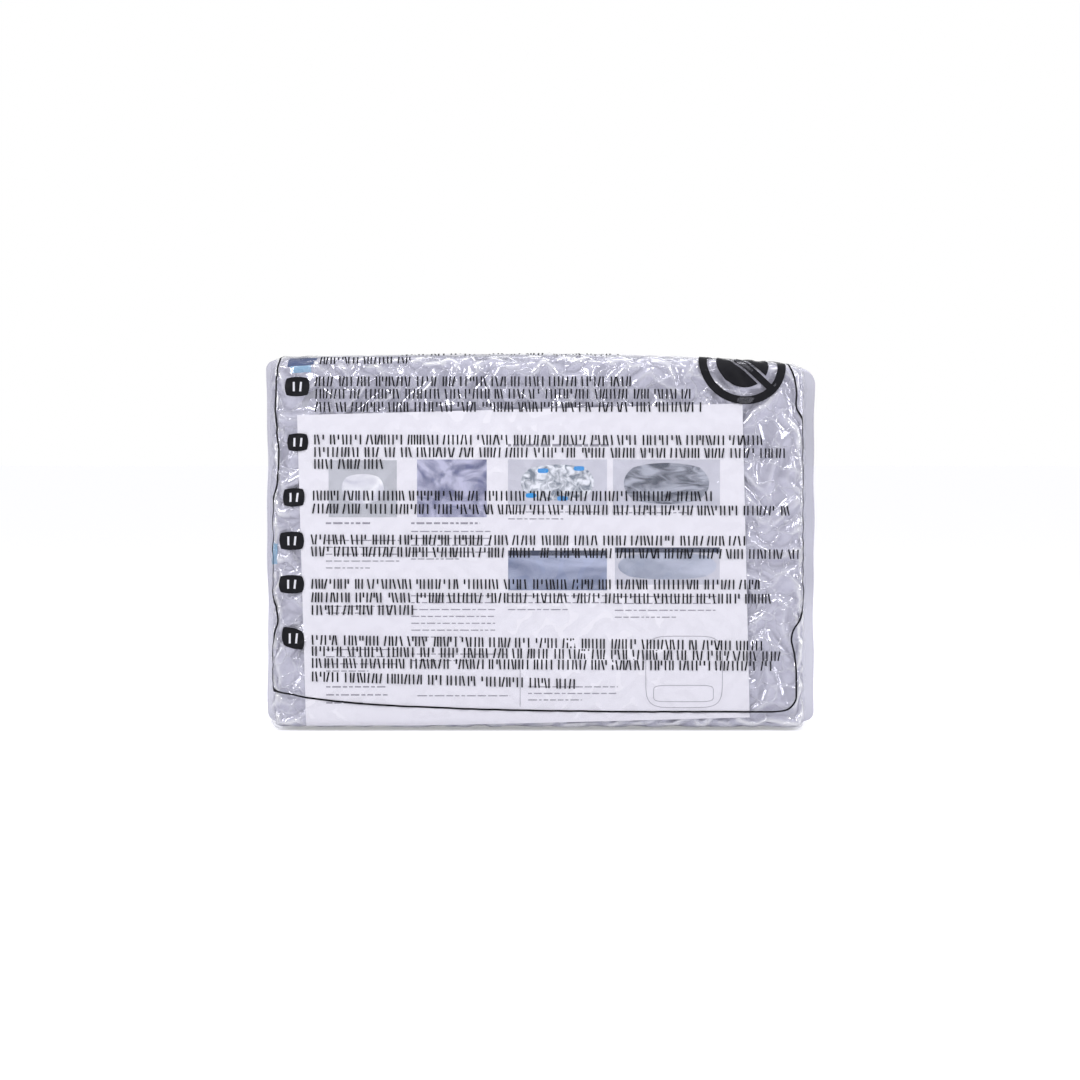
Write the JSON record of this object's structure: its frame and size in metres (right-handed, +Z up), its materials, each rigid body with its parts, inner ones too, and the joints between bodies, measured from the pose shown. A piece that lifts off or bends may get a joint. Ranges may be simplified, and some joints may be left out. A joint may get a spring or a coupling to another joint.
{
  "type": "packaged bed pillow",
  "caption": "Bed pillow folded in four and vacuum-wrapped, with a leaflet, in a clear outer bag whose flap folds over the top and down the back.",
  "frame": {"origin": "middle of the pack's base, on the surface that it stands on", "axes": "+X to the right across the printed front, +Y from the front to the back, +Z up"},
  "size_m": [0.366, 0.112, 0.254],
  "materials": {
    "bag_film": "gloss",
    "adhesive": "satin",
    "leaflet_paper": "satin",
    "wrapper_film": "gloss",
    "tape_navy": "gloss",
    "tape_sky": "gloss",
    "cover_knit": "matte",
    "liner_cloth": "matte",
    "fibre": "matte",
    "zip_ribbon": "matte",
    "zip_plastic": "satin",
    "zip_metal": "satin",
    "label_ribbon": "satin"
  },
  "bodies": {
    "pack": {"bag_front_film": "bag_film", "bag_back_film": "bag_film", "instruction_leaflet": "leaflet_paper", "wrapper_front_film": "wrapper_film", "wrapper_back_film": "wrapper_film", "wrapper_tape_top": "tape_navy", "wrapper_tape_side": "tape_sky", "wrapper_tape_back": "tape_sky", "cover_outer_panel": "cover_knit", "cover_inner_panel": "cover_knit", "inner_liner": "liner_cloth", "fibre_fill": "fibre", "zip_tape_outer": "zip_ribbon", "zip_tape_inner": "zip_ribbon", "zip_coil": "zip_plastic", "zip_stops": "zip_plastic", "zip_slider": "zip_metal", "zip_pull": "zip_metal", "care_label": "label_ribbon"},
    "flap_top": {"flap_top_panel": "bag_film"},
    "flap_tail": {"flap_tail": "bag_film", "flap_adhesive_strip": "adhesive"}
  },
  "joints": [
    {"name": "flap_fold", "type": "hinge", "parent": "pack", "child": "flap_top", "pos_m": [0, -0.05278, 0.25078], "axis": [1, 0, 0], "range_deg": [0, 100]},
    {"name": "flap_peel", "type": "hinge", "parent": "flap_top", "child": "flap_tail", "pos_m": [0, 0.05278, 0.25078], "axis": [1, 0, 0], "range_deg": [0, 150]}
  ]
}
